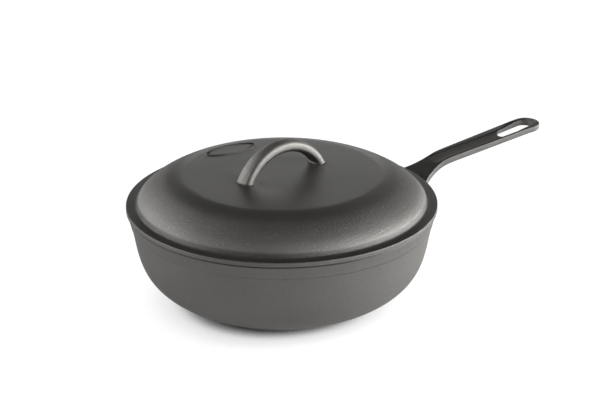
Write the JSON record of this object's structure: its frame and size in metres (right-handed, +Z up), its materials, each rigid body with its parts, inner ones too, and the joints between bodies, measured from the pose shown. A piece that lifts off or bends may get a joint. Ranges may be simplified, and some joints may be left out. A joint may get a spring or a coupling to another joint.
{
  "type": "cast iron deep fryer",
  "caption": "Round-bellied cast iron pan with a long slotted handle and a domed, flanged lid with a loop, for deep frying on a stove or fire.",
  "frame": {"origin": "middle of the pan's flat base, on the surface that the pan stands on", "axes": "+Z up; +X along the long handle, from the pan's axis to the handle's tip; +Y by the right-hand rule"},
  "size_m": [0.4104, 0.27, 0.1445],
  "materials": {
    "pan_iron": "seasoned cast iron, satin, fine sand-cast grain",
    "lid_iron": "seasoned cast iron, satin, coarser grain on the shoulder than on the crown"
  },
  "bodies": {
    "pan": {"pan": "pan_iron"},
    "lid": {"lid": "lid_iron"}
  },
  "joints": [
    {"name": "lid_lift", "type": "slide", "parent": "pan", "child": "lid", "axis": [0, 0, 1], "range_m": [0, 0.15]}
  ]
}
